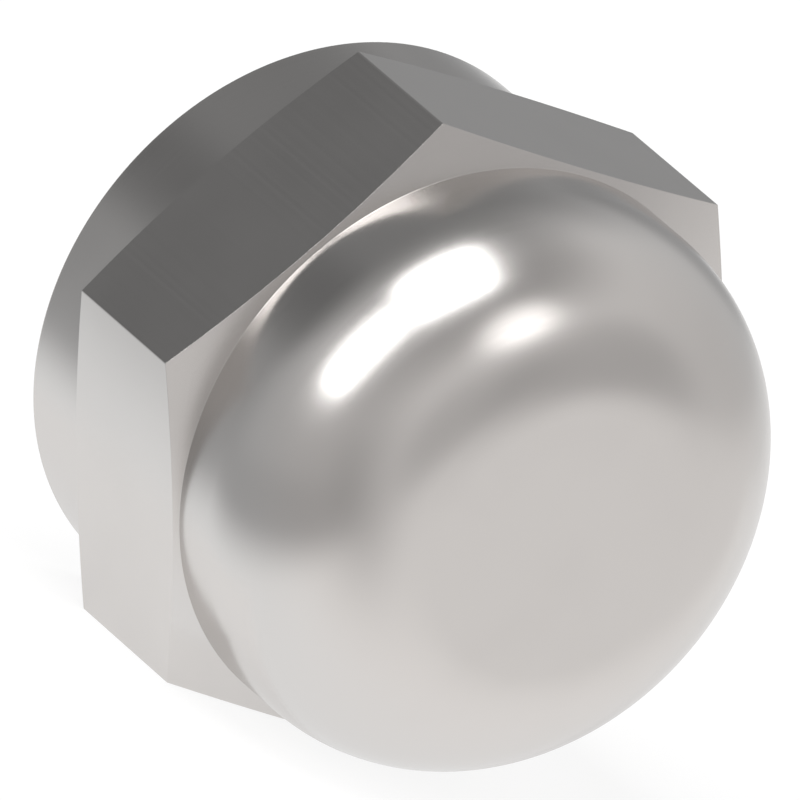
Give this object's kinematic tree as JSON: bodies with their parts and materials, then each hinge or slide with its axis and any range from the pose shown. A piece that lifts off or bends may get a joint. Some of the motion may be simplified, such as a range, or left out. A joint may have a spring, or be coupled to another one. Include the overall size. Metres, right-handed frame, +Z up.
{
  "type": "flare cap",
  "caption": "Domed hexagon cap with a threaded blind bore and a conical seat, screwed onto a flare fitting to close it.",
  "frame": {"origin": "on the surface the cap lies on, below the middle of its length and of its width", "axes": "+X along the cap's axis from its open end to its domed nose, +Z up, square to the hexagon flat it lies on"},
  "size_m": [0.0182, 0.0256, 0.0222],
  "materials": {
    "polished_steel": "turned and lightly polished"
  },
  "bodies": {
    "root": {"flare_cap": "polished_steel"}
  },
  "joints": []
}
